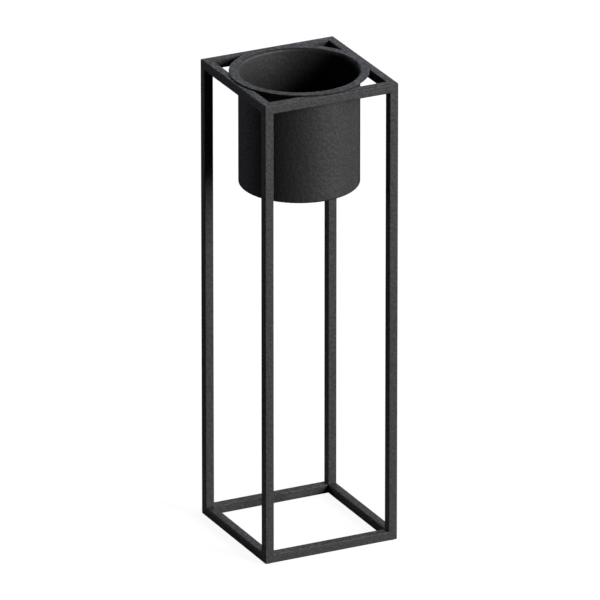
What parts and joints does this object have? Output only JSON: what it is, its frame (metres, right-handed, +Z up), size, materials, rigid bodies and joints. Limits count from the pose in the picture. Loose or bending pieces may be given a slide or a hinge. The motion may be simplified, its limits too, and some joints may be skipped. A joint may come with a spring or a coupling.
{
  "type": "raised planter",
  "caption": "Round metal pot with a wide flat flange, hung in the top of a tall slender square frame of welded square tube that stands on its bottom rails.",
  "frame": {"origin": "on the floor under the middle of the square frame", "axes": "+Z up, -Y towards the front; the frame's sides are along X and Y, and the pot's axis is the Z axis"},
  "size_m": [0.21, 0.21, 0.7025],
  "materials": {
    "frame_coat": "matte",
    "pot_coat": "matte",
    "pad_rubber": "matte"
  },
  "bodies": {
    "stand": {"bottom_rail_front": "frame_coat", "bottom_rail_right": "frame_coat", "bottom_rail_back": "frame_coat", "bottom_rail_left": "frame_coat", "leg_front_left": "frame_coat", "leg_front_right": "frame_coat", "leg_back_left": "frame_coat", "leg_back_right": "frame_coat", "top_rail_front": "frame_coat", "top_rail_right": "frame_coat", "top_rail_back": "frame_coat", "top_rail_left": "frame_coat", "pad_front_left": "pad_rubber", "pad_front_right": "pad_rubber", "pad_back_left": "pad_rubber", "pad_back_right": "pad_rubber"},
    "pot": {"pot": "pot_coat"}
  },
  "joints": [
    {"name": "pot_lift", "type": "slide", "parent": "stand", "child": "pot", "axis": [0, 0, 1], "range_m": [0, 0.2]}
  ]
}
